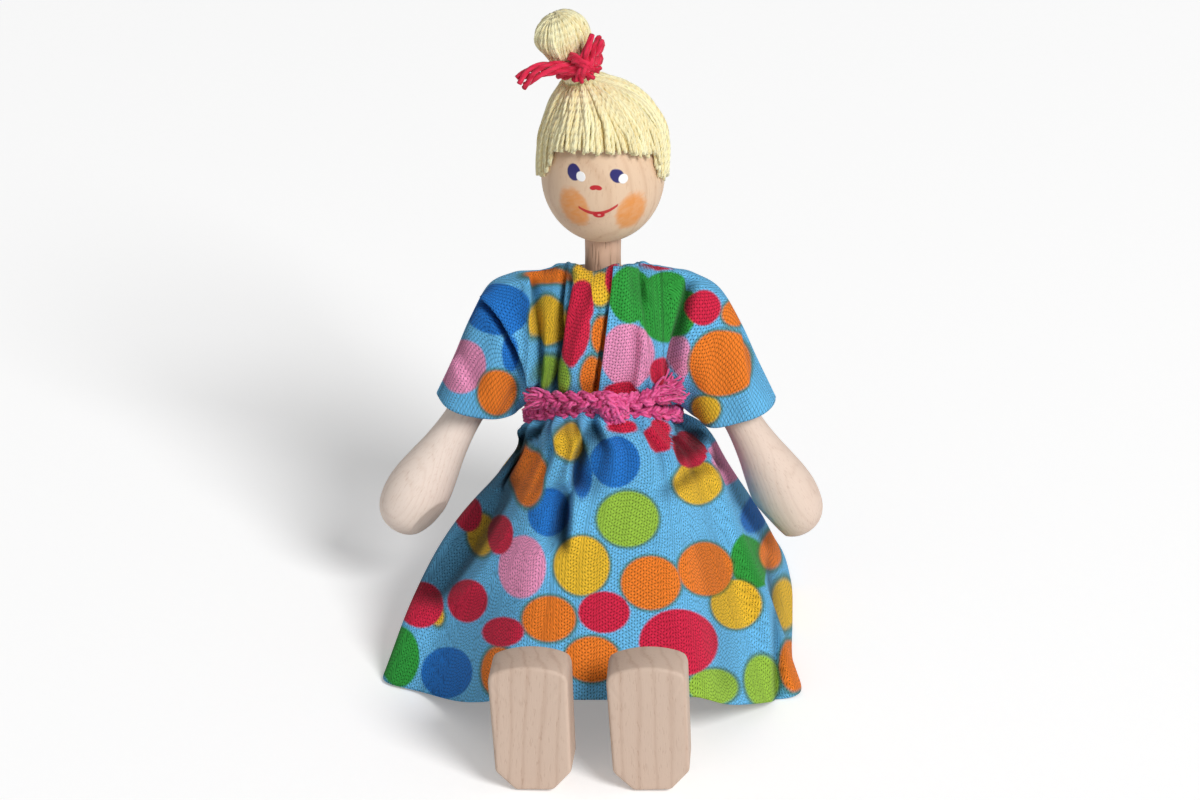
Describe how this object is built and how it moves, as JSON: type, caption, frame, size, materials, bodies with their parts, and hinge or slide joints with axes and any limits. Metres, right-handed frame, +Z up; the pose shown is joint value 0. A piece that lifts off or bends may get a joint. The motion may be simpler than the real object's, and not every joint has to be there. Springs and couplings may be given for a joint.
{
  "type": "jointed wooden doll",
  "caption": "Small jointed wooden doll in a short-sleeved dotted cotton dress with a tied cord belt, yarn hair and a topknot, seated with legs stretched forward.",
  "frame": {"origin": "middle of the torso's flat seat face, on the surface that the doll sits on", "axes": "+Z up along the torso; the doll faces -Y and its own left side is +X"},
  "size_m": [0.066, 0.0903, 0.0949],
  "materials": {
    "maple": "fine sanded, unvarnished",
    "beech": "sanded dowel",
    "straw_yarn": "twisted yarn",
    "red_yarn": "thick yarn",
    "elastic": "round covered elastic",
    "printed_cotton": "plain weave with printed dots",
    "magenta_cord": "crocheted cotton cord"
  },
  "bodies": {
    "torso_body": {"torso": "maple", "shoulder_cord": "elastic", "hip_cord": "elastic", "bodice": "printed_cotton", "skirt": "printed_cotton", "belt": "magenta_cord", "belt_knot": "magenta_cord", "belt_left_end": "magenta_cord", "belt_right_end": "magenta_cord"},
    "head_body": {"head": "maple", "neck_peg": "beech", "hair_cap": "straw_yarn", "hair_topknot": "straw_yarn", "hair_tie": "red_yarn", "hair_tie_knot": "red_yarn"},
    "left_arm_body": {"left_arm": "maple", "left_sleeve": "printed_cotton"},
    "right_arm_body": {"right_arm": "maple", "right_sleeve": "printed_cotton"},
    "left_leg_body": {"left_leg": "maple", "left_foot": "maple"},
    "right_leg_body": {"right_leg": "maple", "right_foot": "maple"}
  },
  "joints": [
    {"name": "head_turn", "type": "hinge", "parent": "torso_body", "child": "head_body", "pos_m": [0, 0, 0.0538], "axis": [0, 0, 1], "range_deg": [-90, 90]},
    {"name": "left_shoulder", "type": "hinge", "parent": "torso_body", "child": "left_arm_body", "pos_m": [0.01055, 0, 0.0483], "axis": [-1, 0, 0], "range_deg": [-20, 100]},
    {"name": "right_shoulder", "type": "hinge", "parent": "torso_body", "child": "right_arm_body", "pos_m": [-0.01055, 0, 0.0483], "axis": [-1, 0, 0], "range_deg": [-20, 100]},
    {"name": "left_hip", "type": "hinge", "parent": "torso_body", "child": "left_leg_body", "pos_m": [0.00705, 0, 0.006], "axis": [1, 0, 0], "range_deg": [0, 90]},
    {"name": "right_hip", "type": "hinge", "parent": "torso_body", "child": "right_leg_body", "pos_m": [-0.00705, 0, 0.006], "axis": [1, 0, 0], "range_deg": [0, 90]}
  ]
}
